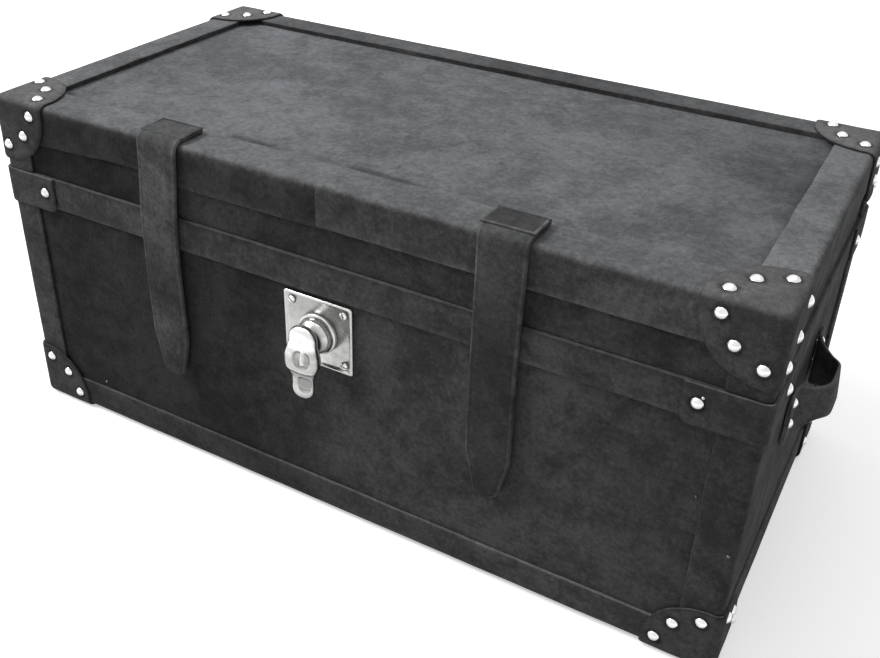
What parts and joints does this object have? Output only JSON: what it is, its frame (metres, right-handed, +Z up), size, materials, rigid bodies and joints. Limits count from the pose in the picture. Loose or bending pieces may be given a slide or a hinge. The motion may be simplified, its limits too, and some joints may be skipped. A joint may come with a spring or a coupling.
{
  "type": "leather-covered trunk",
  "caption": "Low leather-covered wooden trunk with a hinged lid, bound edges, riveted corner caps, front straps, a turning lever lock and end handles.",
  "frame": {"origin": "on the floor under the middle of the wooden box, in the plane of the base caps' undersides", "axes": "+X to the right as seen from the front, +Y from front to back, +Z up; the lock faces -Y"},
  "size_m": [0.851, 0.4452, 0.371],
  "materials": {
    "wood": "bare board",
    "cover_leather": "napped, worn",
    "binding_leather": "napped, pressed",
    "cap_leather": "stiff, matt",
    "strap_leather": "matt, creased",
    "felt": "brushed",
    "rivet_nickel": "polished",
    "lock_chrome": "polished, lightly scratched",
    "hinge_steel": "brushed"
  },
  "bodies": {
    "body": {"body_front_board": "wood", "body_back_board": "wood", "body_left_board": "wood", "body_right_board": "wood", "body_bottom_board": "wood", "body_leather": "cover_leather", "body_lining": "felt", "rim_front_binding": "binding_leather", "rim_back_binding": "binding_leather", "rim_left_binding": "binding_leather", "rim_right_binding": "binding_leather", "body_corner_bindings": "binding_leather", "base_bindings": "binding_leather", "base_cap_front_left": "cap_leather", "base_cap_front_right": "cap_leather", "base_cap_back_left": "cap_leather", "base_cap_back_right": "cap_leather", "rim_corner_patches": "cap_leather", "base_cap_rivets": "rivet_nickel", "rim_patch_rivets": "rivet_nickel", "left_handle": "strap_leather", "right_handle": "strap_leather", "handle_rivets": "rivet_nickel", "lock_plate": "lock_chrome", "lock_screws": "lock_chrome", "lock_boss": "lock_chrome", "lock_nut": "hinge_steel", "hinge_body_leaves": "hinge_steel", "hinge_pins": "hinge_steel", "hinge_body_screws": "hinge_steel"},
    "lock": {"lock_lever": "lock_chrome", "lock_spindle": "hinge_steel", "lock_cam": "hinge_steel", "lock_cam_screw": "hinge_steel"},
    "lid": {"lid_front_board": "wood", "lid_back_board": "wood", "lid_left_board": "wood", "lid_right_board": "wood", "lid_top_board": "wood", "lid_top_leather": "cover_leather", "lid_side_leather": "cover_leather", "lid_lining": "felt", "lid_front_binding": "binding_leather", "lid_back_binding": "binding_leather", "lid_left_binding": "binding_leather", "lid_right_binding": "binding_leather", "lid_corner_bindings": "binding_leather", "lid_cap_front_left": "cap_leather", "lid_cap_front_right": "cap_leather", "lid_cap_back_left": "cap_leather", "lid_cap_back_right": "cap_leather", "lid_cap_rivets": "rivet_nickel", "lid_keeper": "hinge_steel", "keeper_screws": "hinge_steel", "hinge_lid_leaves": "hinge_steel", "hinge_lid_screws": "hinge_steel", "left_strap": "strap_leather", "right_strap": "strap_leather"},
    "left_tail": {"left_strap_tail": "strap_leather"},
    "right_tail": {"right_strap_tail": "strap_leather"}
  },
  "joints": [
    {"name": "lid_hinge", "type": "hinge", "parent": "body", "child": "lid", "pos_m": [0, 0.2032, 0.28875], "axis": [-1, 0, 0], "range_deg": [0, 100]},
    {"name": "lock_turn", "type": "hinge", "parent": "body", "child": "lock", "pos_m": [-0.007, -0.196, 0.2135], "axis": [0, -1, 0], "range_deg": [0, 90]},
    {"name": "left_tail_swing", "type": "hinge", "parent": "lid", "child": "left_tail", "pos_m": [-0.188, -0.2017, 0.324], "axis": [-1, 0, 0], "range_deg": [0, 90]},
    {"name": "right_tail_swing", "type": "hinge", "parent": "lid", "child": "right_tail", "pos_m": [0.174, -0.2017, 0.324], "axis": [-1, 0, 0], "range_deg": [0, 90]}
  ]
}
